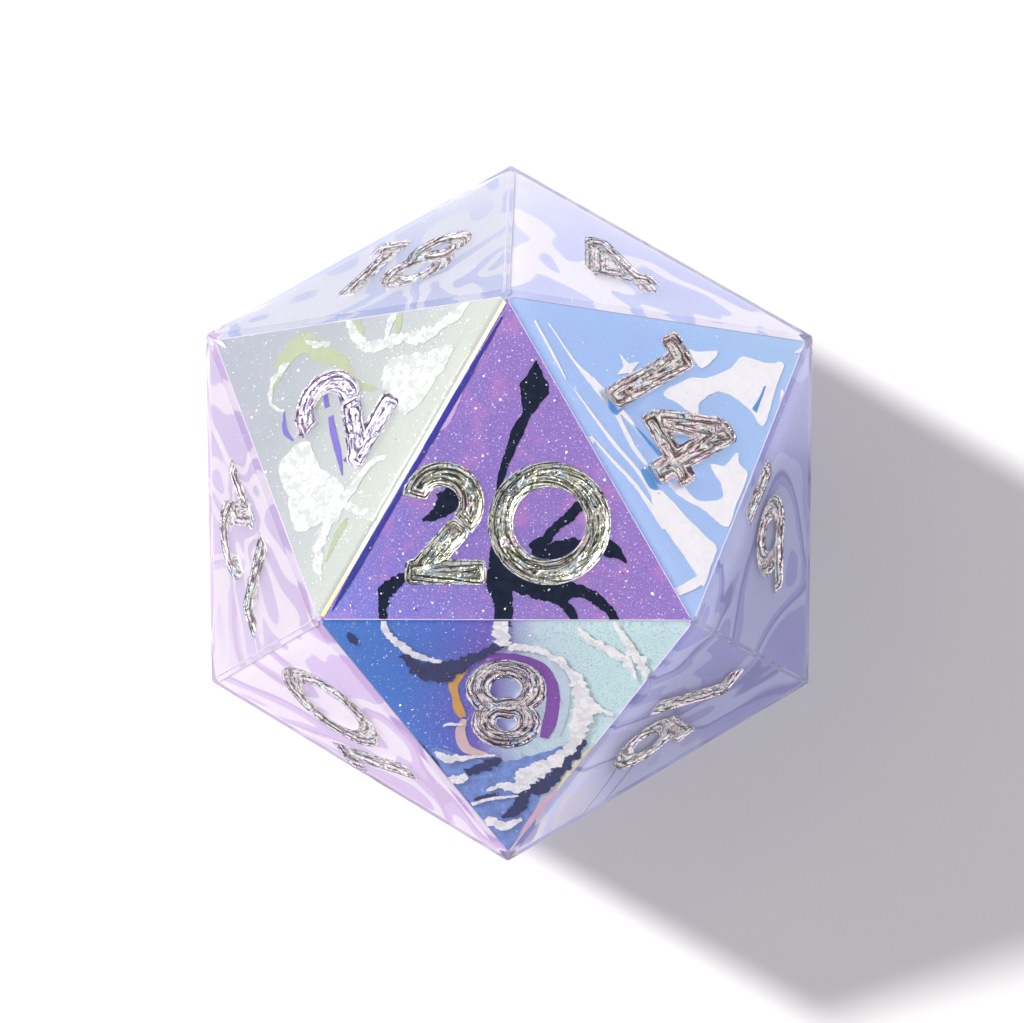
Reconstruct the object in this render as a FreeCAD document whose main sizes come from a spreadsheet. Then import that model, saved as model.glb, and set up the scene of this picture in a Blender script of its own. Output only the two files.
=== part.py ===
"""Twenty-sided die: clear cast resin over a core faced with colour-shift film, with silver-lined numerals.

Millimetres, +Z up. The origin is the centre of the resting face (the one engraved 1), and +Y points to the top
of the numeral 20 on the upper face.
"""

import FreeCAD
import Part
import math
import os
import re

from FreeCAD import Placement, Rotation, Vector

# Driving dimensions, in millimetres and degrees. Entries that start with "=" follow from the ones above them.
DIMENSIONS = [
    ("face_to_face", 20.0),
    ("edge_radius", 0.12),
    ("clear_layer", 0.38),
    ("film_thickness", 0.1),
    ("core_shift", 0.04),
    ("core_shift_heading", -30.0),
    ("numeral_height", 4.2),
    ("numeral_drop", 0.0),
    ("upper_numeral_drop", 0.38),
    ("stroke_width", 0.88),
    ("recess_depth", 0.27),
    ("recess_overshoot", 0.1),
    ("wall_draft", 25.0),
    ("silver_thickness", 0.12),
    ("flake_across", 0.3),
    ("flake_thickness", 0.02),
    ("flake_depth", 0.29),
    ("half_height", "=face_to_face / 2"),
    ("film_radius", "=half_height - clear_layer"),
    ("core_radius", "=film_radius - film_thickness"),
    ("shift_east", "=core_shift * cos(core_shift_heading * 1 deg)"),
    ("shift_north", "=core_shift * sin(core_shift_heading * 1 deg)"),
    ("floor_radius", "=half_height - recess_depth"),
    ("cut_height", "=recess_depth + recess_overshoot"),
    ("floor_half_stroke", "=stroke_width / 2 - recess_depth * tan(wall_draft * 1 deg)"),
    ("top_half_stroke", "=stroke_width / 2 + recess_overshoot * tan(wall_draft * 1 deg)"),
]

GOLDEN = (1 + math.sqrt(5)) / 2
# Distance from the centre of a face to one of its corners, per unit of inradius.
CORNER_PER_INRADIUS = 2 / GOLDEN**2
# Half the angle between neighbouring face normals: the slope of a mitred film edge.
MITRE_ANGLE = math.degrees(math.acos(math.sqrt(5) / 3)) / 2

# Three corners of every face; the first is the corner that the top of its numeral points to.
FACES = {
    20: "ABC", 2: "DAB", 8: "EBC", 14: "FCA",
    18: "GAD", 4: "GAF", 12: "HBD", 10: "HBE", 6: "ICF", 16: "ICE",
    5: "DGL", 15: "DHL", 3: "EIJ", 17: "EHJ", 9: "FIK", 11: "FGK",
    13: "GKL", 7: "HJL", 19: "IJK", 1: "JKL",
}

# Strokes of each digit in units of the numeral height, measured from the middle of the digit's foot.
# bar: centre-line start and end.  arc: centre, centre-line radius, first angle, swept angle.
DIGITS = {
    "0": [("arc", (0, 0.50), 0.40, 0, 360)],
    "1": [("bar", (0, 0), (0, 1)), ("bar", (-0.24, 0.9), (0.05, 0.9))],
    "2": [
        ("arc", (0, 0.665), 0.235, -48, 218),
        ("bar", (0.157, 0.490), (-0.19, 0.10)),
        ("bar", (-0.31, 0.1), (0.36, 0.1)),
    ],
    "3": [
        ("arc", (0, 0.715), 0.185, -90, 240),
        ("arc", (0, 0.315), 0.215, -150, 240),
        ("bar", (-0.10, 0.53), (0.02, 0.53)),
    ],
    "4": [
        ("bar", (0.13, 0), (0.13, 1)),
        ("bar", (0.10, 0.93), (-0.24, 0.33)),
        ("bar", (-0.34, 0.28), (0.34, 0.28)),
    ],
    "5": [
        ("bar", (-0.26, 0.9), (0.27, 0.9)),
        ("bar", (-0.16, 0.48), (-0.16, 0.95)),
        ("arc", (0, 0.33), 0.23, -150, 285),
    ],
    "6": [("arc", (0, 0.34), 0.24, 0, 360), ("bar", (-0.19, 0.45), (0.10, 0.94))],
    "7": [("bar", (-0.31, 0.9), (0.31, 0.9)), ("bar", (0.19, 0.88), (-0.10, 0.03))],
    "8": [("arc", (0, 0.715), 0.185, 0, 360), ("arc", (0, 0.33), 0.23, 0, 360)],
    "9": [("arc", (0, 0.66), 0.24, 0, 360), ("bar", (0.19, 0.55), (-0.10, 0.06))],
}
DIGIT_HALF_WIDTH = {"0": 0.50, "1": 0.20, "2": 0.35, "3": 0.33, "4": 0.36, "5": 0.34, "6": 0.34, "7": 0.33,
                    "8": 0.33, "9": 0.34}
DIGIT_GAP = 0.02
# The bar under 6 and 9 that tells them apart.
UNDERLINE = ("bar", (-0.30, -0.24), (0.30, -0.24))
UNDERLINED = (6, 9)
# The face opposite the resting face; its wide numeral sits a little lower than the others.
UPPER_FACE = 20

FLAKES_PER_FACE = 4
# Fraction of the corner distance that the flakes spread over, so they stay clear of the die's edges.
FLAKE_SPREAD = 0.62
GOLDEN_ANGLE = 137.508


def ring(radius, height, headings):
    """Points around the vertical axis, for an icosahedron of unit edge."""
    return [Vector(radius * math.cos(math.radians(h)), radius * math.sin(math.radians(h)), height)
            for h in headings]


def icosahedron_corners():
    """The twelve corners, lettered from the upper face down to the resting face."""
    face_corner = 1 / math.sqrt(3)
    face_height = GOLDEN**2 / (2 * math.sqrt(3))
    belt_corner = GOLDEN / math.sqrt(3)
    belt_height = 1 / (2 * math.sqrt(3) * GOLDEN)
    points = ring(face_corner, face_height, (90, 210, 330))
    points += ring(belt_corner, belt_height, (150, 270, 30))
    points += ring(belt_corner, -belt_height, (90, 210, 330))
    points += ring(face_corner, -face_height, (270, 30, 150))
    return dict(zip("ABCDEFGHIJKL", points))


CORNERS = icosahedron_corners()


def face_axes(number):
    """Right, up and outward directions of a face as its numeral is read."""
    first, second, third = [CORNERS[letter] for letter in FACES[number]]
    outward = (first + second + third).normalize()
    up = (first - outward * first.dot(outward)).normalize()
    return up.cross(outward), up, outward


doc = FreeCAD.newDocument("die")
sheet = doc.addObject("Spreadsheet::Sheet", "Dimensions")
for row, (alias, value) in enumerate(DIMENSIONS, start=1):
    sheet.set(f"A{row}", alias)
    sheet.set(f"B{row}", str(value))
    sheet.setAlias(f"B{row}", alias)
doc.recompute()


def with_sheet(expression):
    """Point every dimension name in an expression at the spreadsheet."""
    names = "|".join(alias for alias, _ in DIMENSIONS)
    return re.sub(rf"\b({names})\b", r"Dimensions.\1", expression)


def bind(thing, **sizes):
    """Drive properties of an object from expressions over the sheet's dimensions."""
    for name, expression in sizes.items():
        thing.setExpression(name, with_sheet(expression))


def add(kind, label):
    """A new object whose label is the name of the piece or tool that it stands for."""
    thing = doc.addObject(kind, label)
    thing.Label = label
    return thing


def place_on_face(thing, number, distance, across=0.0, along=0.0, on_core=False):
    """Set an object's Z axis along a face normal at a distance from the die's (or the core's) centre."""
    right, up, outward = face_axes(number)
    thing.Placement = Placement(Vector(), Rotation(right, up, outward, "ZYX"))
    slide = right * across + up * along
    centre = ("shift_east", "shift_north", "half_height") if on_core else ("0", "0", "half_height")
    for axis, middle in zip("xyz", centre):
        direction = getattr(outward, axis)
        offset = getattr(slide, axis)
        expression = f"{middle} + ({distance}) * {direction:.15f} + {offset:.6f}"
        thing.setExpression(f"Placement.Base.{axis}", with_sheet(expression))


def icosahedron(label, inradius, on_core=False):
    """A sharp icosahedron: what ten flat discs, one for each pair of opposite faces, have in common."""
    discs = []
    for number in (20, 2, 8, 14, 18, 4, 12, 10, 6, 16):
        disc = add("Part::Cylinder", f"{label}_disc_{number:02d}")
        bind(disc, Radius="face_to_face", Height=f"2 * ({inradius})")
        place_on_face(disc, number, f"-({inradius})", on_core=on_core)
        discs.append(disc)
    solid = add("Part::MultiCommon", label)
    solid.Shapes = discs
    return solid


def glyph_position(thing, point, middle, drop, rotation):
    """Put a stroke at a point of its digit, with the digit's middle at a fraction of the numeral height."""
    thing.Placement = Placement(Vector(), rotation)
    thing.setExpression("Placement.Base.x", with_sheet(f"({point[0]:.4f} + {middle:.4f}) * numeral_height"))
    thing.setExpression("Placement.Base.y", with_sheet(f"({point[1]:.4f} - 0.5) * numeral_height - {drop}"))


def bar_stroke(label, middle, drop, start, end):
    """A straight groove with sloping sides and square ends."""
    along = Vector(end[0] - start[0], end[1] - start[1], 0)
    length = along.Length
    along.normalize()
    depthwise = Vector(0, 0, 1)
    groove = add("Part::Wedge", label)
    bind(groove, Xmin="-floor_half_stroke", Xmax="floor_half_stroke",
         X2min="-top_half_stroke", X2max="top_half_stroke", Ymin="0", Ymax="cut_height",
         Zmin="0", Z2min="0", Zmax=f"{length:.4f} * numeral_height", Z2max=f"{length:.4f} * numeral_height")
    glyph_position(groove, start, middle, drop, Rotation(depthwise.cross(along), depthwise, along, "YZX"))
    return groove


def arc_stroke(label, middle, drop, centre, radius, first_angle, sweep):
    """A curved groove with sloping sides: a cone's sector less a narrower, opposite cone."""
    turn = Rotation(Vector(0, 0, 1), first_angle)
    outer = add("Part::Cone", f"{label}_outer")
    bind(outer, Radius1=f"{radius} * numeral_height + floor_half_stroke",
         Radius2=f"{radius} * numeral_height + top_half_stroke", Height="cut_height")
    outer.Angle = sweep
    inner = add("Part::Cone", f"{label}_inner")
    bind(inner, Radius1=f"{radius} * numeral_height - floor_half_stroke",
         Radius2=f"{radius} * numeral_height - top_half_stroke", Height="cut_height")
    for cone in (outer, inner):
        glyph_position(cone, centre, middle, drop, turn)
    groove = add("Part::Cut", label)
    groove.Base = outer
    groove.Tool = inner
    return groove


def numeral_strokes(number):
    """Every stroke of a one- or two-digit numeral, centred as a group."""
    text = str(number)
    width = sum(2 * DIGIT_HALF_WIDTH[digit] for digit in text) + DIGIT_GAP * (len(text) - 1)
    left = -width / 2
    drop = "upper_numeral_drop" if number == UPPER_FACE else "numeral_drop"
    strokes = []
    for place, digit in enumerate(text):
        middle = left + DIGIT_HALF_WIDTH[digit]
        left = middle + DIGIT_HALF_WIDTH[digit] + DIGIT_GAP
        shapes = DIGITS[digit] + ([UNDERLINE] if number in UNDERLINED else [])
        for index, (kind, *values) in enumerate(shapes):
            make = bar_stroke if kind == "bar" else arc_stroke
            strokes.append(make(f"stroke_{number:02d}_{place}{index}", middle, drop, *values))
    return strokes


def recess_and_numeral(number):
    """The engraved recess of one face and the silver that lines its floor."""
    grooves = add("Part::MultiFuse", f"recess_{number:02d}")
    grooves.Shapes = numeral_strokes(number)
    place_on_face(grooves, number, "floor_radius")
    floor_layer = add("Part::Cylinder", f"floor_layer_{number:02d}")
    bind(floor_layer, Radius="numeral_height", Height="silver_thickness")
    place_on_face(floor_layer, number, "floor_radius")
    silver = add("Part::MultiCommon", f"numeral_{number:02d}")
    silver.Shapes = [grooves, floor_layer]
    return grooves, silver


def film_facet(number, outline):
    """A thin triangle of film on one face of the core, with edges mitred to meet its neighbours."""
    film = add("Part::Extrusion", f"film_facet_{number:02d}")
    film.Base = outline
    film.DirMode = "Custom"
    film.Dir = Vector(0, 0, 1)
    film.Solid = True
    film.TaperAngle = MITRE_ANGLE
    bind(film, LengthFwd="film_thickness")
    place_on_face(film, number, "core_radius", on_core=True)
    return film


def face_flakes(number):
    """A few flakes of glitter spread over one face in the resin above the film."""
    flakes = []
    reach = FLAKE_SPREAD * CORNER_PER_INRADIUS * sheet.half_height / 2
    for index in range(FLAKES_PER_FACE):
        heading = math.radians(GOLDEN_ANGLE * (index + number * FLAKES_PER_FACE))
        distance = reach * math.sqrt((index + 1) / FLAKES_PER_FACE)
        flake = add("Part::Prism", f"flake_{number:02d}_{index}")
        flake.Polygon = 6
        bind(flake, Circumradius="flake_across / 2", Height="flake_thickness")
        place_on_face(flake, number, "half_height - flake_depth - flake_thickness",
                      distance * math.cos(heading), distance * math.sin(heading))
        flakes.append(flake)
    return flakes


# The clear body before it is hollowed: a sharp icosahedron grown by the edge radius.
sharp_body = icosahedron("sharp_body", "half_height - edge_radius")
outer_body = add("Part::Offset", "outer_body")
outer_body.Source = sharp_body
outer_body.Join = 0
bind(outer_body, Value="edge_radius")

core = icosahedron("inner_core", "core_radius", on_core=True)
cavity = icosahedron("cavity", "film_radius", on_core=True)

triangle = add("Part::RegularPolygon", "film_outline")
triangle.Polygon = 3
bind(triangle, Circumradius=f"core_radius * {CORNER_PER_INRADIUS:.9f}")
triangle.Placement = Placement(Vector(), Rotation(Vector(0, 0, 1), 90))

recesses = []
numerals = []
films = []
flakes = []
for number in range(1, 21):
    recess, numeral = recess_and_numeral(number)
    recesses.append(recess)
    numerals.append(numeral)
    films.append(film_facet(number, triangle))
    flakes.extend(face_flakes(number))

glitter = add("Part::Compound", "glitter_flakes")
glitter.Links = flakes

hollows = add("Part::Compound", "hollows")
hollows.Links = [cavity, *recesses, *flakes]
casing = add("Part::Cut", "clear_casing")
casing.Base = outer_body
casing.Tool = hollows
doc.recompute()

SUB_PARTS = [casing, core, *films, *numerals, glitter]

for thing in doc.Objects:
    if "Invalid" in thing.State or "Error" in thing.State:
        raise RuntimeError(f"{thing.Label} did not recompute: {thing.State}")
for thing in SUB_PARTS:
    if thing.Shape.isNull() or not thing.Shape.isValid():
        raise RuntimeError(f"{thing.Label} has no valid shape")

os.makedirs("parts", exist_ok=True)
for thing in SUB_PARTS:
    thing.Shape.exportStep(f"parts/{thing.Label}.step")
    print(f"{thing.Label}: {len(thing.Shape.Solids)} solid(s), {thing.Shape.Volume:.3f} mm3")
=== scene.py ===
"""Looks of the twenty-sided die: clear resin over colour-shift film, silver numerals and fine glitter."""

import math
import random

import bpy
import numpy as np
from mathutils import Euler, Matrix, Vector, noise
from mathutils.geometry import tessellate_polygon


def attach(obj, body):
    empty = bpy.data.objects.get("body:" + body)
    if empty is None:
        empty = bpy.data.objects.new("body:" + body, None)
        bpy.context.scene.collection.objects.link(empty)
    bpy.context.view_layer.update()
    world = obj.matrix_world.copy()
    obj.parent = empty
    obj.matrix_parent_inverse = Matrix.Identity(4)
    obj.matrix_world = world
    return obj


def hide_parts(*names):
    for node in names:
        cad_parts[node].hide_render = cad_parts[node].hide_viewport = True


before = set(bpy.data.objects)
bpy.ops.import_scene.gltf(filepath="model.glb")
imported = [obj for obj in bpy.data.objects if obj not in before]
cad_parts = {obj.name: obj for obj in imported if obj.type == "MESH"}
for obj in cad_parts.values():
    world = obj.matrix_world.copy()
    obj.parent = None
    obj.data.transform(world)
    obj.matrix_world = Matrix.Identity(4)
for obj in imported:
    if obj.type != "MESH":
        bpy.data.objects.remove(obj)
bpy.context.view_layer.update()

MM = 0.001
GOLDEN = (1 + math.sqrt(5)) / 2

# The die's own sizes, in millimetres, as its frame was designed.
HALF_HEIGHT = 10.0
EDGE = 2 * HALF_HEIGHT / (GOLDEN**2 / math.sqrt(3))
FILM_RADIUS = 9.62
CORE_SHIFT = 0.04
CORE_SHIFT_HEADING = math.radians(-30)
NUMERAL_HEIGHT = 4.2
UPPER_NUMERAL_DROP = 0.38
STROKE_WIDTH = 0.88

# Three corners of every face; the first is the corner that the top of its numeral points to.
FACES = {
    20: "ABC", 2: "DAB", 8: "EBC", 14: "FCA",
    18: "GAD", 4: "GAF", 12: "HBD", 10: "HBE", 6: "ICF", 16: "ICE",
    5: "DGL", 15: "DHL", 3: "EIJ", 17: "EHJ", 9: "FIK", 11: "FGK",
    13: "GKL", 7: "HJL", 19: "IJK", 1: "JKL",
}

# Strokes of each digit in units of the numeral height, measured from the middle of the digit's foot.
DIGITS = {
    "0": [("arc", (0, 0.50), 0.40, 0, 360)],
    "1": [("bar", (0, 0), (0, 1)), ("bar", (-0.24, 0.9), (0.05, 0.9))],
    "2": [
        ("arc", (0, 0.665), 0.235, -48, 218),
        ("bar", (0.157, 0.490), (-0.19, 0.10)),
        ("bar", (-0.31, 0.1), (0.36, 0.1)),
    ],
    "3": [
        ("arc", (0, 0.715), 0.185, -90, 240),
        ("arc", (0, 0.315), 0.215, -150, 240),
        ("bar", (-0.10, 0.53), (0.02, 0.53)),
    ],
    "4": [
        ("bar", (0.13, 0), (0.13, 1)),
        ("bar", (0.10, 0.93), (-0.24, 0.33)),
        ("bar", (-0.34, 0.28), (0.34, 0.28)),
    ],
    "5": [
        ("bar", (-0.26, 0.9), (0.27, 0.9)),
        ("bar", (-0.16, 0.48), (-0.16, 0.95)),
        ("arc", (0, 0.33), 0.23, -150, 285),
    ],
    "6": [("arc", (0, 0.34), 0.24, 0, 360), ("bar", (-0.19, 0.45), (0.10, 0.94))],
    "7": [("bar", (-0.31, 0.9), (0.31, 0.9)), ("bar", (0.19, 0.88), (-0.10, 0.03))],
    "8": [("arc", (0, 0.715), 0.185, 0, 360), ("arc", (0, 0.33), 0.23, 0, 360)],
    "9": [("arc", (0, 0.66), 0.24, 0, 360), ("bar", (0.19, 0.55), (-0.10, 0.06))],
}
DIGIT_HALF_WIDTH = {"0": 0.50, "1": 0.20, "2": 0.35, "3": 0.33, "4": 0.36, "5": 0.34, "6": 0.34,
                    "7": 0.33, "8": 0.33, "9": 0.34}
DIGIT_GAP = 0.02
UNDERLINE = ("bar", (-0.30, -0.24), (0.30, -0.24))
UNDERLINED = (6, 9)
UPPER_FACE = 20
CORNER_PER_INRADIUS = 2 / GOLDEN**2


# ---- geometry of the die ----


def ring(radius, height, headings):
    """Points around the vertical axis, for an icosahedron of unit edge."""
    return [Vector((radius * math.cos(math.radians(h)), radius * math.sin(math.radians(h)), height))
            for h in headings]


def icosahedron_corners():
    """The twelve corners, lettered from the upper face down to the resting face."""
    face_corner = 1 / math.sqrt(3)
    face_height = GOLDEN**2 / (2 * math.sqrt(3))
    belt_corner = GOLDEN / math.sqrt(3)
    belt_height = 1 / (2 * math.sqrt(3) * GOLDEN)
    points = ring(face_corner, face_height, (90, 210, 330))
    points += ring(belt_corner, belt_height, (150, 270, 30))
    points += ring(belt_corner, -belt_height, (90, 210, 330))
    points += ring(face_corner, -face_height, (270, 30, 150))
    return dict(zip("ABCDEFGHIJKL", points))


CORNERS = icosahedron_corners()
MIDDLE = Vector((0, 0, HALF_HEIGHT))
CORE_MIDDLE = MIDDLE + CORE_SHIFT * Vector((math.cos(CORE_SHIFT_HEADING), math.sin(CORE_SHIFT_HEADING), 0))


def face_axes(number):
    """Right, up and outward directions of a face as its numeral is read."""
    first, second, third = [CORNERS[letter] for letter in FACES[number]]
    outward = (first + second + third).normalized()
    up = (first - outward * first.dot(outward)).normalized()
    return up.cross(outward), up, outward


def on_face(number, x, y, depth):
    """A point in metres: x right and y up from the middle of a face, in millimetres, and depth below it."""
    right, up, outward = face_axes(number)
    return (MIDDLE + right * x + up * y + outward * (HALF_HEIGHT - depth)) * MM


def film_depth(number):
    """How far below its outer face a film lies: the core sits a little off the die's middle."""
    outward = face_axes(number)[2]
    return HALF_HEIGHT - FILM_RADIUS - (CORE_MIDDLE - MIDDLE).dot(outward)


# ---- small node helpers ----


class Tree:
    """The node tree of a new material or world, with short ways to add and join nodes."""

    def __init__(self, name, kind="materials", surface="Principled BSDF"):
        self.owner = getattr(bpy.data, kind).new(name)
        self.owner.use_nodes = True
        self.nodes = self.owner.node_tree.nodes
        self.links = self.owner.node_tree.links
        self.surface = self.nodes[surface]

    def add(self, kind, inputs=None, **settings):
        node = self.nodes.new("ShaderNode" + kind)
        for name, value in settings.items():
            setattr(node, name, value)
        for name, value in (inputs or {}).items():
            self.feed(node.inputs[name], value)
        return node

    def feed(self, socket, value):
        if isinstance(value, bpy.types.NodeSocket):
            self.links.new(value, socket)
        elif hasattr(socket.default_value, "__len__") and len(socket.default_value) == 4 and len(value) == 3:
            socket.default_value = (*value, 1)
        else:
            socket.default_value = value

    def place(self, kind="Object"):
        return self.add("TexCoord").outputs[kind]

    def math(self, operation, a, b):
        return self.add("Math", {0: a, 1: b}, operation=operation).outputs[0]

    def vector(self, operation, a, b):
        node = self.add("VectorMath", {0: a, 1: b}, operation=operation)
        return node.outputs["Value" if operation == "DOT_PRODUCT" else "Vector"]

    def scaled(self, vector, factor):
        return self.add("VectorMath", {0: vector, "Scale": factor}, operation="SCALE").outputs[0]

    def mix(self, factor, a, b, blend="MIX"):
        """Two colours mixed; a Mix node keeps its colours in sockets 6, 7 and 2."""
        node = self.add("Mix", data_type="RGBA", blend_type=blend)
        self.feed(node.inputs[0], factor)
        self.feed(node.inputs[6], a)
        self.feed(node.inputs[7], b)
        return node.outputs[2]

    def blend(self, base, colour, mask, amount):
        """Base colour with another over it, as far as a mask and an amount let it."""
        return self.mix(self.math("MULTIPLY", mask, amount), base, colour)

    def noise(self, where, scale, detail=3.0, roughness=0.5, distortion=0.0):
        node = self.add("TexNoise", {"Vector": where, "Scale": scale, "Detail": detail,
                                     "Roughness": roughness, "Distortion": distortion})
        return node.outputs[0]

    def cells(self, where, scale):
        return self.add("TexVoronoi", {"Vector": where, "Scale": scale})

    def graded(self, value, low, high, first=0.0, last=1.0, curve="LINEAR"):
        node = self.add("MapRange", {"Value": value, "From Min": low, "From Max": high, "To Min": first,
                                     "To Max": last}, interpolation_type=curve)
        return node.outputs[0]

    def step(self, value, low, high):
        return self.graded(value, low, high, curve="SMOOTHSTEP")

    def ramp(self, value, stops):
        node = self.add("ValToRGB", {"Fac": value})
        elements = node.color_ramp.elements
        while len(elements) < len(stops):
            elements.new(0.5)
        for element, (place, colour) in zip(elements, stops):
            element.position = place
            element.color = (*colour, 1)
        return node.outputs[0]

    def finish(self, **inputs):
        """Feed the shader's own inputs; an underscore in a name stands for a space."""
        for name, value in inputs.items():
            self.feed(self.surface.inputs[name.replace("_", " ")], value)

    def bump(self, height, strength, distance):
        node = self.add("Bump", {"Height": height, "Strength": strength, "Distance": distance})
        self.feed(self.surface.inputs["Normal"], node.outputs[0])


def linear(*channels):
    """Screen colour channels, 0 to 255, as scene-linear numbers."""
    return tuple(c / 255 / 12.92 if c < 10.4 else ((c / 255 + 0.055) / 1.055) ** 2.4 for c in channels)


def face_coordinates(tree, number):
    """Position on a face in millimetres, x right and y up from its middle."""
    right, up, outward = face_axes(number)
    turn = Matrix((right, up, outward)).to_euler()
    place = tree.place()
    moved = tree.vector("SUBTRACT", place, MIDDLE * MM)
    turned = tree.add("VectorRotate", {"Vector": moved, "Rotation": turn},
                      rotation_type="EULER_XYZ").outputs[0]
    return tree.scaled(turned, 1 / MM)


# ---- materials ----

WHITE = (1.0, 1.0, 1.0)
# Name of the map that holds how far inside its groove each point of the silver lies, in millimetres.
GROOVE_MAP = "groove"


def resin_material():
    """Clear cast resin that lets the lamps reach the films inside it."""
    tree = Tree("clear_resin")
    place = tree.place()
    haze = tree.noise(place, 400.0)
    tint = tree.mix(haze, (0.985, 0.99, 1.0), (1.0, 0.995, 0.99))
    tree.finish(Base_Color=tint, Transmission_Weight=1.0, IOR=1.5, Roughness=0.015)
    path = tree.add("LightPath")
    clear = tree.add("BsdfTransparent", {"Color": (0.93, 0.93, 0.94)})
    choose = tree.add("MixShader", {0: path.outputs["Is Shadow Ray"], 1: tree.surface.outputs[0],
                                    2: clear.outputs[0]})
    tree.links.new(choose.outputs[0], tree.nodes["Material Output"].inputs["Surface"])
    return tree.owner


# Bands of a film: the noise levels each one lies between, and which of the two band colours it has.
BAND_LEVELS = ((0.42, 0.48, 0), (0.56, 0.63, 0), (0.49, 0.515, 1))
BAND_EDGE = 0.008
# Specks in a film: cells per millimetre, and the share of the cells that hold one.
SPECKS = ((11.0, 0.75), (7.5, 0.7), (3.6, 0.35))
SPECK_COLOUR = (0.8, 0.97, 1.0)
PINK_GRAIN = (0.72, 0.36, 0.66)
BLUE_GRAIN = (0.18, 0.27, 0.62)
PINK_CLOUD = (0.52, 0.22, 0.48)
FILM_SPAN = 13.0


def film_material(number, colours, heading, bands, sparkle, blush=0.3):
    """Colour-shift film: a run of colours along a heading, flowing bands, a fine grain and bright specks."""
    tree = Tree(f"film_{number:02d}")
    place = face_coordinates(tree, number)
    axis = (math.cos(math.radians(heading)) / FILM_SPAN, math.sin(math.radians(heading)) / FILM_SPAN, 0)
    along = tree.vector("DOT_PRODUCT", place, axis)
    drift = tree.math("SUBTRACT", tree.noise(place, 0.16, 2.0), 0.5)
    run = tree.math("ADD", tree.math("ADD", along, 0.5), tree.math("MULTIPLY", drift, 0.4))
    base = tree.ramp(run, [(i / (len(colours) - 1), c) for i, c in enumerate(colours)])
    if bands:
        base = banded(tree, place, number, bands, base)
    grain = tree.noise(place, 13.0, 3.0, 0.7)
    base = tree.blend(base, PINK_GRAIN, tree.step(grain, 0.5, 0.68), 0.6 * sparkle * blush)
    base = tree.blend(base, BLUE_GRAIN, tree.step(grain, 0.5, 0.34), 0.6 * sparkle)
    cloud = tree.noise(place, 0.9, 3.0, 0.6)
    base = tree.blend(base, PINK_CLOUD, tree.step(cloud, 0.5, 0.7), 0.4 * sparkle * blush)
    for scale, share in SPECKS:
        specks = tree.cells(place, scale)
        chance = tree.add("SeparateColor", {0: specks.outputs["Color"]}).outputs
        size = tree.math("MULTIPLY", chance[1], 0.2)
        fleck = tree.math("MULTIPLY", tree.math("LESS_THAN", specks.outputs["Distance"], size),
                          tree.math("LESS_THAN", chance[0], share * sparkle))
        base = tree.blend(base, SPECK_COLOUR, fleck, 0.85)
    tree.finish(Base_Color=base, Metallic=0.12, Roughness=0.35)
    tree.bump(tree.noise(place, 2.0, 4.0), 0.12, 0.00005)
    return tree.owner


def banded(tree, place, number, bands, base):
    """Colour with flowing bands over it, where a slow noise lies between set levels."""
    offset = tree.vector("ADD", place, (number * 3.7, number * 1.9, 0))
    flow = tree.noise(offset, 0.13, 1.5, 0.45, 1.3)
    for low, high, colour in BAND_LEVELS:
        inside = tree.math("SUBTRACT", tree.step(flow, low, low + BAND_EDGE),
                           tree.step(flow, high, high + BAND_EDGE))
        base = tree.blend(base, bands[colour], inside, 0.9)
    return base


def silver_material(name, shadow, reflected_hues):
    """Silver leaf brushed into a groove: painted highlight on the pale rim, painted shade in dark fold
    lines, crinkled streaks of both.
    """
    tree = Tree(name)
    place = tree.place()
    groove = tree.add("UVMap", uv_map=GROOVE_MAP).outputs[0]
    across = tree.add("SeparateXYZ", {0: groove}).outputs[0]
    wander = tree.math("SUBTRACT", tree.noise(place, 2200.0, 3.0), 0.5)
    across = tree.math("ADD", across, tree.math("MULTIPLY", wander, 0.07))
    half_shadow = tuple(0.35 + 0.5 * c for c in shadow)
    # From the rim to the middle of the stroke: bands of painted highlight and painted shade.
    lines = tree.ramp(tree.math("MULTIPLY", across, 2.0), [
        (0.00, (0.86, 0.90, 0.98)), (0.10, WHITE), (0.14, shadow), (0.20, (0.85, 0.85, 0.88)),
        (0.33, WHITE), (0.41, half_shadow), (0.48, shadow), (0.58, (0.62, 0.64, 0.60)),
        (0.75, WHITE), (0.92, half_shadow)])
    slow = tree.scaled(place, 2300.0)
    quick = tree.add("CombineXYZ", {0: tree.math("MULTIPLY", across, 20.0)}).outputs[0]
    streak = tree.noise(tree.vector("ADD", slow, quick), 1.0, 4.0, 0.7)
    folds_and_crease_shade = tree.noise(place, 8000.0, 4.0, 0.7, 0.8)
    # Streaks and folds of the crinkled leaf: dark ones are painted shade, pale ones painted highlight.
    colour = tree.mix(tree.step(streak, 0.49, 0.42), lines, shadow)
    colour = tree.mix(tree.step(streak, 0.54, 0.60), colour, WHITE)
    colour = tree.mix(tree.step(folds_and_crease_shade, 0.46, 0.38), colour, shadow)
    # Hues of painted reflection, picked up from the films around the numeral.
    hue = tree.noise(place, 2300.0, 2.0)
    tint = tree.ramp(hue, list(zip((0.34, 0.45, 0.55, 0.66), reflected_hues)))
    tree.finish(Base_Color=tree.mix(0.8, colour, tint, "MULTIPLY"), Metallic=0.85, Roughness=0.15)
    tree.bump(folds_and_crease_shade, 0.8, 0.00004)
    return tree.owner


def foil_material(name, colour, metallic=0.1, roughness=0.25, shade=0.9, holes=0.0):
    """Bare foil where the film's coating is missing; frosted foil shows a duller colour in fine holes."""
    tree = Tree(name)
    place = tree.place()
    grain = tree.noise(place, 3200.0, 5.0, 0.7)
    dull = tuple(shade * c for c in colour)
    mixed = tree.mix(tree.step(grain, 0.45, 0.53) if holes else tree.step(grain, 0.3, 0.7), dull, colour)
    tree.finish(Base_Color=mixed, Metallic=metallic, Roughness=roughness)
    tree.bump(grain, 0.25 + holes, 0.00003)
    return tree.owner


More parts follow.
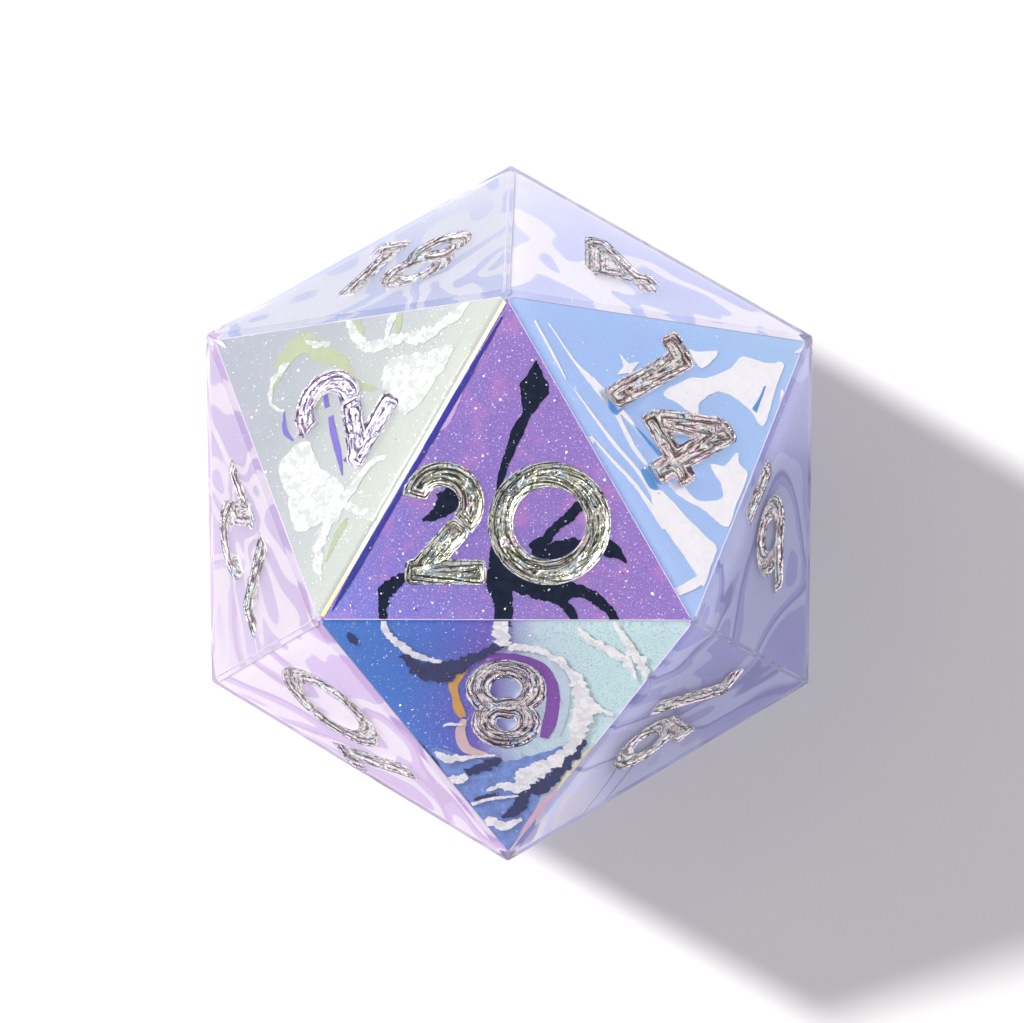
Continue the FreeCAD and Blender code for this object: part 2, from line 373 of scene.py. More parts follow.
def core_material():
    """Cloudy resin of the core."""
    tree = Tree("core_resin")
    place = tree.place()
    cloud = tree.noise(place, 300.0, 4.0)
    tree.finish(Base_Color=tree.mix(cloud, (0.45, 0.42, 0.62), (0.62, 0.6, 0.78)), Roughness=0.4)
    return tree.owner


def glitter_material():
    """Iridescent flakes whose colour differs from one flake to the next."""
    tree = Tree("glitter")
    place = tree.place()
    hue = tree.noise(place, 1200.0, 1.0)
    colour = tree.ramp(hue, [(0.3, (1.0, 0.75, 0.9)), (0.5, (0.75, 0.97, 1.0)), (0.7, (0.97, 1.0, 0.9))])
    tree.finish(Base_Color=colour, Metallic=0.15, Roughness=0.2)
    return tree.owner


# ---- pieces ----


def new_piece(name, vertices, faces, material, smooth=False):
    """A mesh piece that rides with the die."""
    mesh = bpy.data.meshes.new(name)
    mesh.from_pydata([tuple(v) for v in vertices], [], faces)
    mesh.validate()
    mesh.materials.append(material)
    if smooth:
        mesh.shade_smooth()
    piece = bpy.data.objects.new(name, mesh)
    bpy.context.scene.collection.objects.link(piece)
    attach(piece, "root")
    return piece


def outer_shell(node):
    """Vertices and faces of a node's outermost surface, without the hollows inside it."""
    mesh = node.data
    merged = {}
    index = []
    points = []
    for vertex in mesh.vertices:
        key = tuple(round(c * 1e7) for c in vertex.co)
        if key not in merged:
            merged[key] = len(points)
            points.append(vertex.co.copy())
        index.append(merged[key])
    faces = [tuple(index[i] for i in polygon.vertices) for polygon in mesh.polygons]
    faces = [f for f in faces if len(set(f)) == len(f)]
    parent = list(range(len(points)))

    def root(i):
        while parent[i] != i:
            parent[i] = parent[parent[i]]
            i = parent[i]
        return i

    for face in faces:
        for corner in face[1:]:
            parent[root(corner)] = root(face[0])
    highest = max(range(len(points)), key=lambda i: points[i].z)
    outside = root(highest)
    kept = [f for f in faces if root(f[0]) == outside]
    used = sorted({i for f in kept for i in f})
    place = {old: new for new, old in enumerate(used)}
    return [points[i] for i in used], [tuple(place[i] for i in f) for f in kept]


# Rounded edges lie farther than this from the middle of the die, and the numerals nearer.
RIM_DISTANCE = 10.62


def resin_body(material):
    """The casing's outer surface as clear resin, smooth only round its edges."""
    points, faces = outer_shell(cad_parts["clear_casing"])
    body = new_piece("resin_body", points, faces, material)
    flats = [face_axes(number)[2] for number in FACES]
    for polygon in body.data.polygons:
        on_edge = (polygon.center / MM - MIDDLE).length > RIM_DISTANCE
        polygon.use_smooth = on_edge and max(polygon.normal.dot(flat) for flat in flats) < 0.9999
    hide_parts("clear_casing")


# Radius of the leaf's corners at the ends of straight strokes, in millimetres.
LEAF_ROUNDING = 0.26


def bar_distance(x, y, start, end):
    """Signed distance in millimetres to the rim of a straight groove, negative inside."""
    dx, dy = end[0] - start[0], end[1] - start[1]
    length = math.hypot(dx, dy)
    ux, uy = dx / length, dy / length
    along = (x - start[0]) * ux + (y - start[1]) * uy
    across = (y - start[1]) * ux - (x - start[0]) * uy
    beside = np.abs(across) - STROKE_WIDTH / 2 + LEAF_ROUNDING
    beyond = np.abs(along - length / 2) - length / 2 + LEAF_ROUNDING
    outside = np.hypot(np.maximum(beside, 0), np.maximum(beyond, 0))
    return outside + np.minimum(np.maximum(beside, beyond), 0) - LEAF_ROUNDING


def arc_distance(x, y, centre, radius, first, sweep):
    """Signed distance to the rim of a curved groove, negative inside."""
    dx, dy = x - centre[0], y - centre[1]
    across = np.abs(np.hypot(dx, dy) - radius) - STROKE_WIDTH / 2
    if sweep >= 360:
        return across
    middle = math.radians(first + sweep / 2)
    ahead = dx * math.cos(middle) + dy * math.sin(middle)
    aside = dy * math.cos(middle) - dx * math.sin(middle)
    turned = np.arctan2(aside, ahead)
    past_end = np.hypot(dx, dy) * np.sin(np.clip(np.abs(turned) - math.radians(sweep / 2), -1.5, 1.5))
    return np.maximum(across, past_end)


def numeral_distance(number, x, y):
    """Signed distance from points on a face to the rim of its numeral's groove."""
    text = str(number)
    width = sum(2 * DIGIT_HALF_WIDTH[digit] for digit in text) + DIGIT_GAP * (len(text) - 1)
    left = -width / 2
    nearest = np.full(np.shape(x), 1e3)
    drop = UPPER_NUMERAL_DROP if number == UPPER_FACE else 0.0
    for digit in text:
        middle = left + DIGIT_HALF_WIDTH[digit]
        left = middle + DIGIT_HALF_WIDTH[digit] + DIGIT_GAP

        def spot(point):
            return (point[0] + middle) * NUMERAL_HEIGHT, (point[1] - 0.5) * NUMERAL_HEIGHT - drop

        for kind, *values in DIGITS[digit] + ([UNDERLINE] if number in UNDERLINED else []):
            if kind == "bar":
                distance = bar_distance(x, y, spot(values[0]), spot(values[1]))
            else:
                centre, radius, first, sweep = values
                distance = arc_distance(x, y, spot(centre), radius * NUMERAL_HEIGHT, first, sweep)
            nearest = np.minimum(nearest, distance)
    return nearest


LEAF_THICKNESS = 0.05
# Half the width of the square that holds any numeral, in millimetres.
LEAF_REACH = 4.2
# Faces whose leaf is modelled most finely.
UPPER_SIDE = (20, 2, 8, 14)


def eased(value):
    """A smooth rise from 0 to 1 as the value goes from 0 to 1."""
    t = min(max(value, 0.0), 1.0)
    return t * t * (3 - 2 * t)


def leaf_height(number, x, y, inside):
    """Height of the leaf's upper side: a sloping lip, a step, and a crinkled floor along each groove."""
    where = Vector((x, y, number * 7.3))
    crinkle = 0.045 * noise.noise(where * 3.4) + 0.028 * noise.noise(where * 8.0)
    lip = 0.105 * eased(inside / 0.12)
    step = 0.045 * eased((inside - 0.16) / 0.09)
    return -lip - step + crinkle * eased((inside - 0.06) / 0.12) - 0.003


def snapped_grid(number):
    """A fine grid over a face, its points outside the groove moved onto the rim, and their distances."""
    step = 0.045 if number in UPPER_SIDE else 0.07
    count = int(2 * LEAF_REACH / step)
    ticks = (np.arange(count + 1) - count / 2) * step
    x, y = np.meshgrid(ticks, ticks, indexing="ij")
    distance = numeral_distance(number, x, y)
    small = 1e-4
    slope_x = (numeral_distance(number, x + small, y) - distance) / small
    slope_y = (numeral_distance(number, x, y + small) - distance) / small
    outside = np.maximum(distance, 0)
    return x - slope_x * outside, y - slope_y * outside, distance


def leaf_cells(distance):
    """The grid cells that reach into a groove, each as the grid places of its four corners."""
    inside = distance < 0
    cell = inside[:-1, :-1] | inside[1:, :-1] | inside[:-1, 1:] | inside[1:, 1:]
    return [((i, j), (i + 1, j), (i + 1, j + 1), (i, j + 1)) for i, j in zip(*np.nonzero(cell))]


def leaf_faces(cells, place, count):
    """Top, bottom and rim faces of the leaf; the bottom's vertices follow the top's."""
    faces = []
    edges = {}
    for cell in cells:
        loop = [place[corner] for corner in cell]
        faces += [tuple(loop), tuple(count + k for k in reversed(loop))]
        edges.update(dict.fromkeys(zip(loop, loop[1:] + loop[:1])))
    return faces + [(b, a, count + a, count + b) for a, b in edges if (b, a) not in edges]


def silver_numeral(number, material):
    """Leaf that lines the groove of one numeral: a closed, crinkled shell."""
    x, y, distance = snapped_grid(number)
    cells = leaf_cells(distance)
    place = {}
    top = []
    bottom = []
    depths = []
    for corner in (corner for cell in cells for corner in cell):
        if corner not in place:
            place[corner] = len(top)
            depth = max(-distance[corner], 0.0)
            height = leaf_height(number, x[corner], y[corner], depth)
            top.append(on_face(number, x[corner], y[corner], -height))
            bottom.append(on_face(number, x[corner], y[corner], LEAF_THICKNESS - height))
            depths.append(depth)
    faces = leaf_faces(cells, place, len(top))
    piece = new_piece(f"silver_{number:02d}", top + bottom, faces, material, smooth=True)
    groove = piece.data.uv_layers.new(name=GROOVE_MAP)
    for loop in piece.data.loops:
        groove.data[loop.index].uv = (depths[loop.vertex_index % len(top)], 0.0)
    piece.visible_shadow = False
    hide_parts(f"numeral_{number:02d}")


def smooth_path(points, pieces=14, closed=False):
    """Catmull-Rom points through control points of any dimension."""
    ends = [points[-1], *points, points[0], points[1]] if closed else [points[0], *points, points[-1]]
    path = []
    for a, b, c, d in zip(ends, ends[1:], ends[2:], ends[3:]):
        for step in range(pieces):
            t = step / pieces
            path.append(tuple(0.5 * (2 * q + (r - p) * t + (2 * p - 5 * q + 4 * r - s) * t * t
                                     + (3 * q - p - 3 * r + s) * t**3) for p, q, r, s in zip(a, b, c, d)))
    return path if closed else path + [tuple(points[-1])]


def brush(points, raggedness=0.05):
    """Outline of a flowing stroke: two slightly wavering sides around a smooth path of (x, y, width)."""
    path = smooth_path(points)
    left = []
    right = []
    for k, (x, y, width) in enumerate(path):
        before = path[max(k - 1, 0)]
        after = path[min(k + 1, len(path) - 1)]
        dx, dy = after[0] - before[0], after[1] - before[1]
        length = math.hypot(dx, dy) or 1.0
        half = max(width / 2, 0.01)
        for side, sign in ((left, 1), (right, -1)):
            slow = noise.noise(Vector((x * 4, y * 4, 5 * sign)))
            quick = noise.noise(Vector((x * 11, y * 11, 7 * sign)))
            waver = (slow + 0.6 * quick) * raggedness * min(1.0, 2 * width)
            reach = sign * max(half + waver, 0.01)
            side.append((x - dy / length * reach, y + dx / length * reach))
    return left + right[::-1]


def brushes(strokes, raggedness=0.05):
    """Outlines of several flowing strokes."""
    return [brush(stroke, raggedness) for stroke in strokes]


def blob(points, raggedness=0.04):
    """A smooth closed outline through (x, y) points, with a slightly wavering edge."""
    outline = smooth_path(points, 8, closed=True)

    def waver(x, y, layer):
        return raggedness * noise.noise(Vector((x * 4, y * 4, layer)))

    return [(x + waver(x, y, 1), y + waver(x, y, 9)) for x, y in outline]


def star(x, y, size):
    """A small four-pointed star with hollow sides."""
    waist = 0.3 * size
    outline = []
    for heading in (90, 0, -90, -180):
        for reach, turn in ((size, heading), (waist, heading - 45)):
            angle = math.radians(turn)
            outline.append((x + reach * math.cos(angle), y + reach * math.sin(angle)))
    return outline


def film_corners(number, margin=0.02):
    """Corners of a film, on its face, in millimetres."""
    right, up = face_axes(number)[:2]
    shift = CORE_MIDDLE - MIDDLE
    reach = FILM_RADIUS * CORNER_PER_INRADIUS - 2 * margin
    angles = [math.radians(heading) for heading in (90, 210, 330)]
    return [(shift.dot(right) + reach * math.cos(a), shift.dot(up) + reach * math.sin(a)) for a in angles]


def clipped(outline, corners):
    """The part of an outline inside a triangle whose corners run anticlockwise."""
    for a, b in zip(corners, corners[1:] + corners[:1]):
        sides = [(b[0] - a[0]) * (y - a[1]) - (b[1] - a[1]) * (x - a[0]) for x, y in outline]
        kept = []
        for p, q, here, there in zip(outline, outline[1:] + outline[:1], sides, sides[1:] + sides[:1]):
            if here >= 0:
                kept.append(p)
            if (here >= 0) != (there >= 0):
                t = here / (here - there)
                kept.append((p[0] + t * (q[0] - p[0]), p[1] + t * (q[1] - p[1])))
        outline = kept
        if len(outline) < 3:
            return []
    return outline


FOIL_THICKNESS = 0.012
# Gap under the lowest layer of foil, and between one layer and the next.
FOIL_GAP = 0.004
# Outlines of one piece that cross lie this much above each other, so that no two surfaces coincide.
CROSSING_STEP = 0.0008
# How far a pattern on a tilted film is moved up its face, to make up for the resin's refraction.
REFRACTION_SLIDE = (0.0, 0.19)
UNMOVED = (0.0, 0.0)


def foil_piece(name, number, outlines, material, layer=0, slide=REFRACTION_SLIDE):
    """Thin flowing shapes of foil that lie on one film, each cut off at the film's edges."""
    points = []
    faces = []
    depth = film_depth(number) - FOIL_GAP - layer * (FOIL_THICKNESS + FOIL_GAP)
    for outline in outlines:
        depth -= CROSSING_STEP
        moved = [(x + slide[0], y + slide[1]) for x, y in outline]
        shape = clipped(moved, film_corners(number))
        if not shape:
            continue
        first = len(points)
        count = len(shape)
        points += [on_face(number, x, y, depth) for x, y in shape]
        points += [on_face(number, x, y, depth - FOIL_THICKNESS) for x, y in shape]
        flat = [Vector((x, y, 0)) for x, y in shape]
        turning = sum(p.x * q.y - q.x * p.y for p, q in zip(flat, flat[1:] + flat[:1]))
        for i, j, k in tessellate_polygon([flat]):
            if (flat[j] - flat[i]).cross(flat[k] - flat[i]).z < 0:
                j, k = k, j
            faces.append((first + count + i, first + count + j, first + count + k))
            faces.append((first + k, first + j, first + i))
        for i in range(count):
            j = (i + 1) % count
            wall = (first + i, first + j, first + count + j, first + count + i)
            faces.append(wall if turning > 0 else wall[::-1])
    new_piece(name, points, faces, material)


# The edge between the upper face and the 2 is the one with a gold line of painted highlight.
GOLD_EDGE = ("A", "B")


def seam(first, second, width):
    """A thin bright line of painted highlight where two neighbouring films meet, as points and faces of a
    slim prism.
    """
    scale = EDGE * FILM_RADIUS / HALF_HEIGHT
    start = CORE_MIDDLE + CORNERS[first] * scale
    end = CORE_MIDDLE + CORNERS[second] * scale
    outward = (CORNERS[first] + CORNERS[second]).normalized()
    sideways = (end - start).cross(outward).normalized() * width / 2
    section = [outward * 0.03, sideways, outward * -0.03, -sideways]
    tips = (start.lerp(end, 0.01), start.lerp(end, 0.99))
    points = [(tip + offset) * MM for tip in tips for offset in section]
    sides = [(i, (i + 1) % 4, (i + 1) % 4 + 4, i + 4) for i in range(4)]
    return points, [*sides, (3, 2, 1, 0), (4, 5, 6, 7)]


def seam_lines(name, edges, width, material):
    """One piece made of the lines along several edges."""
    points = []
    faces = []
    for first, second in edges:
        more_points, more_faces = seam(first, second, width)
        faces += [tuple(len(points) + i for i in face) for face in more_faces]
        points += more_points
    new_piece(name, points, faces, material)


def gold_seam_material():
    """Painted highlight along the seam: bright, gold towards both ends."""
    tree = Tree("gold_edge_highlight")
    place = tree.place("Generated")
    along = tree.add("SeparateXYZ", {0: place}).outputs[1]
    colour = tree.ramp(along, [(0.0, (1.0, 0.72, 0.35)), (0.25, (1.0, 0.93, 0.8)), (0.6, (1.0, 0.98, 0.97)),
                               (1.0, (1.0, 0.82, 0.6))])
    tree.finish(Base_Color=colour, Metallic=0.1, Roughness=0.3)
    return tree.owner


FLAKE_SIDES = 5
# How thickly the flakes lie over each face; every other face has the last number.
FLAKE_WEIGHTS = {20: 4.0, 2: 2.2, 8: 3.0, 14: 0.7}
OTHER_FLAKE_WEIGHT = 0.4


def fine_glitter(material, count=1900):
    """Tiny flakes at every tilt in the resin over the films."""
    chance = random.Random(20)
    points = []
    faces = []
    weights = [FLAKE_WEIGHTS.get(number, OTHER_FLAKE_WEIGHT) for number in FACES]
    for number in chance.choices(list(FACES), weights, k=count):
        a, b = sorted((chance.random(), chance.random()))
        corners = film_corners(number, 0.15)
        x, y = (sum(w * c[k] for w, c in zip((a, b - a, 1 - b), corners)) for k in (0, 1))
        if numeral_distance(number, np.array(x), np.array(y)) < 0.08:
            continue
        depth = film_depth(number) - chance.uniform(0.05, 0.13)
        size = chance.uniform(0.01, 0.028) * chance.choice((1, 1, 1, 1.9))
        middle = on_face(number, x, y, depth)
        turn = Euler([chance.uniform(0, math.tau) for _ in range(3)]).to_matrix()
        first = len(points)
        for side in range(FLAKE_SIDES):
            angle = side * math.tau / FLAKE_SIDES
            points.append(middle + turn @ Vector((math.cos(angle), math.sin(angle), 0)) * size * MM)
        thick = turn @ Vector((0, 0, 0.008)) * MM
        points += [middle + thick, middle - thick]
        for i in range(FLAKE_SIDES):
            j = (i + 1) % FLAKE_SIDES
            faces.append((first + i, first + j, first + FLAKE_SIDES))
            faces.append((first + j, first + i, first + FLAKE_SIDES + 1))
    piece = new_piece("fine_glitter", points, faces, material)
    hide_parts("glitter_flakes")


# ---- stage ----


def lay_floor():
    """A plain, pale, matt floor."""
    tree = Tree("floor")
    place = tree.place()
    grain = tree.noise(place, 60.0, 4.0)
    tree.finish(Base_Color=tree.mix(grain, (0.90, 0.89, 0.905), (0.92, 0.91, 0.925)), Roughness=0.7)
    reach = 3.0
    corners = [(-reach, -reach, 0), (reach, -reach, 0), (reach, reach, 0), (-reach, reach, 0)]
    mesh = bpy.data.meshes.new("floor")
    mesh.from_pydata(corners, [], [(0, 1, 2, 3)])
    mesh.materials.append(tree.owner)
    floor = bpy.data.objects.new("floor", mesh)
    bpy.context.scene.collection.objects.link(floor)


# Brightness of the sky by the height of the direction looked in: bright low down, dark overhead.
SKY_LEVELS = [(0.0, 1.3), (0.2, 1.2), (0.45, 0.55), (0.86, 0.5), (0.95, 0.04)]
SKY_TINT = (1.0, 0.97, 0.985)
# A dark card low in the south, whose mirror image keeps the face above it clear; it dims the sky this far.
CARD_DIRECTION = (0.0, -0.994, 0.11)
CARD_EDGE = (0.93, 0.98)
CARD_LEVEL = 0.4


def sky():
    """Soft light all round: dark overhead, brighter to the south, with a dark card low in the south."""
    tree = Tree("studio", "worlds", "Background")
    bpy.context.scene.world = tree.owner
    direction = tree.place("Generated")
    split = tree.add("SeparateXYZ", {0: direction}).outputs
    levels = [(height, [level * channel for channel in SKY_TINT]) for height, level in SKY_LEVELS]
    south = tree.graded(split["Y"], -1.0, 0.3, 1.35, 1.0)
    card = tree.graded(tree.vector("DOT_PRODUCT", direction, CARD_DIRECTION), *CARD_EDGE, 1.0, CARD_LEVEL)
    tree.finish(Color=tree.ramp(split["Z"], levels), Strength=tree.math("MULTIPLY", south, card))


# Where the key lamp hangs: direction round the die and height in degrees, and distance in metres.
KEY_HEADING = 150
KEY_HEIGHT = 43.5
KEY_DISTANCE = 0.7


def key_lamp():
    """A round lamp that throws the long soft-edged shadow; its own mirror image in the resin is left out."""
    key = bpy.data.lights.new("key", "AREA")
    key.shape = "DISK"
    key.size = 0.062
    key.energy = 5.1
    key.color = (1.0, 0.985, 0.96)
    lamp = bpy.data.objects.new("key", key)
    heading, height = math.radians(KEY_HEADING), math.radians(KEY_HEIGHT)
    level = math.cos(height)
    lamp.location = KEY_DISTANCE * Vector((level * math.cos(heading), level * math.sin(heading),
                                           math.sin(height)))
    lamp.rotation_euler = lamp.location.to_track_quat("Z", "Y").to_euler()
    lamp.visible_transmission = False
    bpy.context.scene.collection.objects.link(lamp)


# Where the camera stands, in metres, and how far it is turned from looking straight down, in degrees.
CAMERA_PLACE = (0.00388, 0.00154, 0.285)
CAMERA_TURN = (-0.327, 0.79, 0.12)
CAMERA_LENS = 272


def place_camera():
    """Nearly straight down on the upper face, a little to its right."""
    data = bpy.data.cameras.new("camera")
    data.sensor_width = 36
    data.lens = CAMERA_LENS
    data.clip_start = 0.01
    view = bpy.data.objects.new("camera", data)
    view.location = CAMERA_PLACE
    view.rotation_euler = [math.radians(angle) for angle in CAMERA_TURN]
    bpy.context.scene.collection.objects.link(view)
    bpy.context.scene.camera = view
    bpy.context.scene.view_settings.view_transform = "Standard"


# ---- colours ----


def palette(*colours):
    """The colours of a film, in the order in which they run across it."""
    return [linear(*colour) for colour in colours]


VIOLET = palette((112, 120, 204), (124, 104, 180), (134, 106, 178), (130, 102, 178))
SKY = palette((178, 208, 255), (170, 204, 253), (176, 212, 252))
PEARL = palette((166, 172, 152), (148, 155, 148), (129, 136, 139), (126, 132, 140))
TEAL = (212, 242, 242)
BLUE = palette(TEAL, TEAL, TEAL, (205, 226, 236), (118, 88, 198), (84, 106, 210), (60, 122, 214),
               (52, 124, 212), (46, 118, 204))
LAVENDER = palette((206, 213, 244), (190, 198, 240), (206, 212, 246))
LAVENDER_TO_PALE = LAVENDER + palette((228, 228, 244))
# Painted shade: a darker copy of the lavender film for face 18, which the key lamp lights strongly.
LAVENDER_PAINTED_SHADE = palette((144, 154, 184), (138, 148, 182), (154, 162, 188), (178, 182, 197))
ROSE = palette((214, 188, 232), (206, 180, 228), (216, 194, 236))
# Painted shade: a darker copy of the rose film for face 12, which the key lamp lights strongly.
ROSE_PAINTED_SHADE = palette((160, 144, 182), (156, 140, 178), (166, 152, 186), (192, 184, 205))
DUSK = palette((186, 190, 246), (174, 174, 238), (180, 184, 244))
DUSK_TO_PALE = DUSK[:2] + palette((208, 206, 240), (238, 232, 246))
WHITE_BANDS = palette((242, 238, 246), (190, 200, 238))
PINK_BANDS = palette((238, 230, 243), (196, 164, 212))
DIM_BANDS = palette((208, 215, 255), (142, 142, 208))
# Painted shade: darker copies of the white and pink bands, for faces 18 and 12.
WHITE_BANDS_PAINTED_SHADE = palette((176, 178, 189), (145, 154, 188))
PINK_BANDS_PAINTED_SHADE = palette((190, 183, 193), (160, 136, 172))
# Each film's colours, the heading they run in, the colours of its bands, how strongly it sparkles, and,
# where it isn't the usual, how pink its grain is.
FILM_LOOKS = {
    20: (VIOLET, 20, None, 1.0, 1.0),
    14: (SKY, 90, None, 0.25),
    2: (PEARL, 90, None, 0.45),
    8: (BLUE, 0, None, 0.8, 0.1),
    18: (LAVENDER_PAINTED_SHADE, 90, WHITE_BANDS_PAINTED_SHADE, 0.2),
    4: (LAVENDER_TO_PALE, 90, WHITE_BANDS, 0.2),
    12: (ROSE_PAINTED_SHADE, 90, PINK_BANDS_PAINTED_SHADE, 0.15),
    10: (ROSE, 90, PINK_BANDS, 0.15),
    6: (DUSK, 0, DIM_BANDS, 0.2),
    16: (DUSK_TO_PALE, -30, DIM_BANDS, 0.2),
    11: (LAVENDER, 10, WHITE_BANDS, 0.2),
    5: (LAVENDER, 70, WHITE_BANDS, 0.2),
    13: (LAVENDER, 20, WHITE_BANDS, 0.2),
    15: (ROSE, 70, PINK_BANDS, 0.15),
    17: (ROSE, 30, PINK_BANDS, 0.15),
    7: (ROSE, 0, PINK_BANDS, 0.15),
    3: (DUSK, 0, DIM_BANDS, 0.2),
    9: (DUSK, 50, DIM_BANDS, 0.2),
    19: (SKY, 10, WHITE_BANDS, 0.2),
    1: (ROSE, 40, PINK_BANDS, 0.15),
}

# The leaf's painted shade for its dark folds, and four hues of painted reflection from the films around it.
SILVERS = {
    "leaf": ((0.10, 0.07, 0.08), [(0.7, 0.9, 1.0), WHITE, (1.0, 0.86, 0.9), (0.8, 0.76, 1.0)]),
    "olive": ((0.07, 0.065, 0.04), [(0.74, 0.9, 1.0), WHITE, (0.88, 0.95, 0.72), (1.0, 0.8, 0.94)]),
    "brown": ((0.12, 0.06, 0.05), [(0.72, 0.86, 1.0), WHITE, (1.0, 0.88, 0.86), (0.94, 0.8, 1.0)]),
    "violet": ((0.05, 0.03, 0.08),
               [(0.6, 0.72, 0.9), (0.86, 0.84, 0.96), (0.9, 0.76, 0.7), (0.72, 0.66, 0.9)]),
    "lilac": ((0.06, 0.04, 0.14),
              [(0.76, 0.76, 0.98), (0.95, 0.95, 0.98), (1.0, 0.8, 0.9), (0.74, 0.74, 0.98)]),
}
# Which leaf a face's numeral has; the leaves differ only in painted shade and reflected hues. Every other
# face has the first.
SILVER_OF_FACE = {20: "olive", 14: "brown", 8: "violet", 2: "lilac"}
HALO_COLOURS = {"violet": (135, 72, 178), "ice": (205, 222, 240), "gold": (230, 172, 84),
                "peach": (232, 202, 202), "blush": (232, 184, 214), "cream": (236, 228, 205)}


# ---- patterns of the upper faces ----

# Strokes run through (x, y, width) on their face in millimetres, and closed shapes through (x, y).

# A flowing, leaf-tipped stem with branches at its foot, on the upper face.
STEM = [(1.04, 5.2, 0.04), (1.02, 4.75, 0.5), (0.98, 4.3, 1.0), (0.85, 3.75, 0.62), (0.7, 3.3, 0.32),
        (0.42, 2.8, 0.42), (0.15, 2.1, 0.3), (-0.1, 1.4, 0.25), (-0.25, 0.6, 0.18), (-0.32, -0.6, 0.24),
        (-0.3, -1.5, 0.45), (-0.2, -2.3, 0.95), (-0.1, -2.9, 0.72), (-0.06, -3.4, 0.62), (-0.05, -4.2, 0.62)]
LEFT_TAIL = [(-0.2, -2.3, 0.4), (-1.2, -2.33, 0.28), (-2.5, -2.28, 0.22), (-3.4, -2.22, 0.36),
             (-3.97, -2.6, 0.48), (-4.2, -3.1, 0.36), (-4.15, -4.0, 0.2)]
RIGHT_TAIL = [(0.4, -2.2, 0.5), (1.3, -2.5, 0.55), (2.2, -2.6, 0.42), (2.9, -2.85, 0.4), (3.35, -3.15, 0.34),
              (3.75, -3.65, 0.28), (4.05, -4.1, 0.2)]
RIGHT_SPUR = [(0.2, -2.4, 0.5), (1.1, -2.75, 0.42), (1.85, -3.05, 0.34), (2.3, -3.5, 0.3), (2.6, -4.1, 0.2)]
JUNCTION = [(-0.8, -2.3, 0.1), (-0.4, -2.25, 0.35), (0.3, -2.35, 0.8), (1.1, -2.6, 0.7), (1.8, -2.72, 0.6),
            (2.6, -2.75, 0.3)]
COMMA = [(-1.45, 0.85, 0.15), (-1.75, 0.7, 0.6), (-2.05, 0.25, 0.75), (-2.4, -0.1, 0.4), (-2.85, -0.28, 0.1)]
FORK = [(2.78, 0.5, 0.14), (2.5, 0.2, 0.32), (2.1, -0.22, 0.34), (1.75, -0.5, 0.3), (1.35, -0.95, 0.36),
        (0.9, -1.3, 0.5)]
FORK_FOOT = [(0.9, -1.35, 0.3), (1.4, -1.35, 0.52), (2.0, -1.25, 0.62), (2.5, -1.15, 0.5),
             (2.95, -1.15, 0.3), (3.5, -1.3, 0.25)]
SPADE = [(3.4, -1.5), (3.5, -1.2), (3.45, -0.85), (3.65, -0.95), (3.9, -1.2), (4.05, -1.45), (4.15, -1.75),
         (3.8, -1.6)]


def decorate_upper_face(dark, pale, blue):
    """The flourish, painted dark as a reflection; lilac slivers of painted reflection at the left; a blue
    line along the left edge.
    """
    ragged = [LEFT_TAIL, JUNCTION, RIGHT_TAIL, RIGHT_SPUR, COMMA, FORK, FORK_FOOT]
    foil_piece("flourish_20", 20, [brush(STEM, 0.06), *brushes(ragged, 0.12), blob(SPADE)], dark,
               slide=UNMOVED)
    # Lilac slivers along the left edge: a painted reflection of the neighbouring film.
    slivers = [[(-1.25, 5.0, 0.04), (-1.75, 3.9, 0.4), (-2.25, 3.1, 0.55), (-2.8, 2.7, 0.1)],
               [(-2.5, 2.3, 0.05), (-3.2, 1.9, 0.4), (-3.9, 1.3, 0.1)],
               [(-4.2, 0.7, 0.05), (-4.6, 0.0, 0.35), (-5.0, -0.5, 0.1)],
               [(-0.55, 6.0, 0.04), (-0.9, 5.3, 0.2), (-1.3, 4.6, 0.05)]]
    foil_piece("lilac_reflection_20", 20, brushes(slivers), pale, slide=UNMOVED)
    edge_line = [(-0.13, 6.69, 0.05), (-1.72, 3.93, 0.2), (-3.63, 0.63, 0.14), (-5.2, -2.1, 0.18),
                 (-5.95, -3.4, 0.03)]
    foil_piece("edge_line_20", 20, [brush(edge_line, 0.02)], blue, layer=1, slide=UNMOVED)


